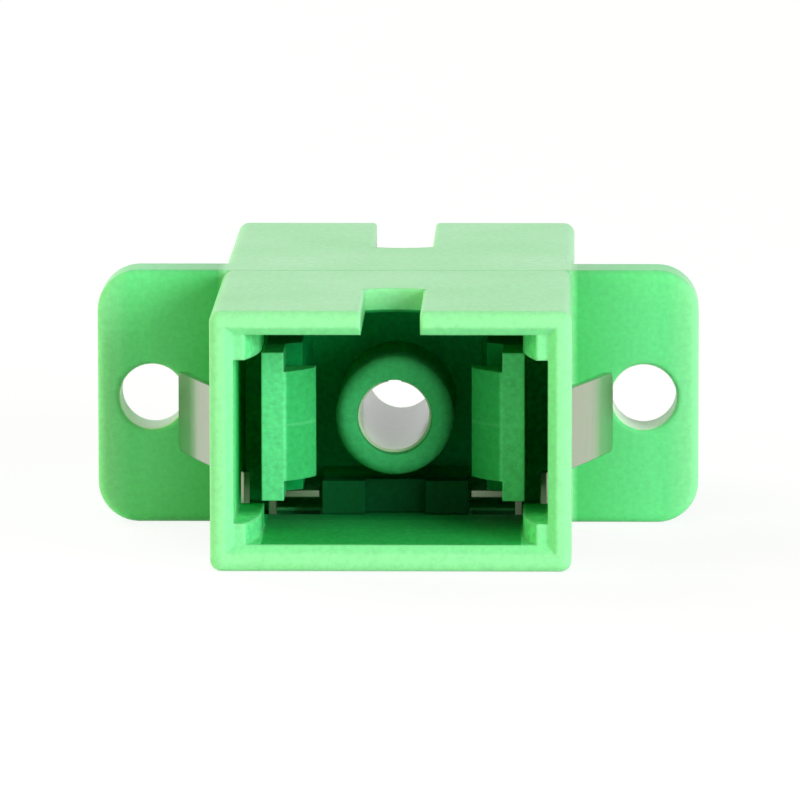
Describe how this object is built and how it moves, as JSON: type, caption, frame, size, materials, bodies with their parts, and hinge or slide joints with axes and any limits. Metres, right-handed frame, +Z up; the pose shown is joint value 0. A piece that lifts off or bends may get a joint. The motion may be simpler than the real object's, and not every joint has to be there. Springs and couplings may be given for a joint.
{
  "type": "fibre optic adapter",
  "caption": "Green flanged panel adapter that joins two push-pull fibre plugs end to end, with latch arms, a ceramic alignment sleeve and a sprung steel panel clip.",
  "frame": {"origin": "on the ferrule axis, at the front face of the flange, midway between the two screw holes", "axes": "+X right along the flange, +Y along the ferrule axis away from the front port, +Z up towards the key slots"},
  "size_m": [0.022, 0.0274, 0.0094],
  "materials": {
    "green_plastic": "moulded PBT with a fine satin surface",
    "sleeve_ceramic": "ground and polished zirconia",
    "spring_steel": "cold-rolled stainless strip, punched and bent"
  },
  "bodies": {
    "root": {"front_housing": "green_plastic", "rear_housing": "green_plastic", "front_latch_holder": "green_plastic", "rear_latch_holder": "green_plastic", "split_sleeve": "sleeve_ceramic", "panel_clip": "spring_steel"}
  },
  "joints": []
}
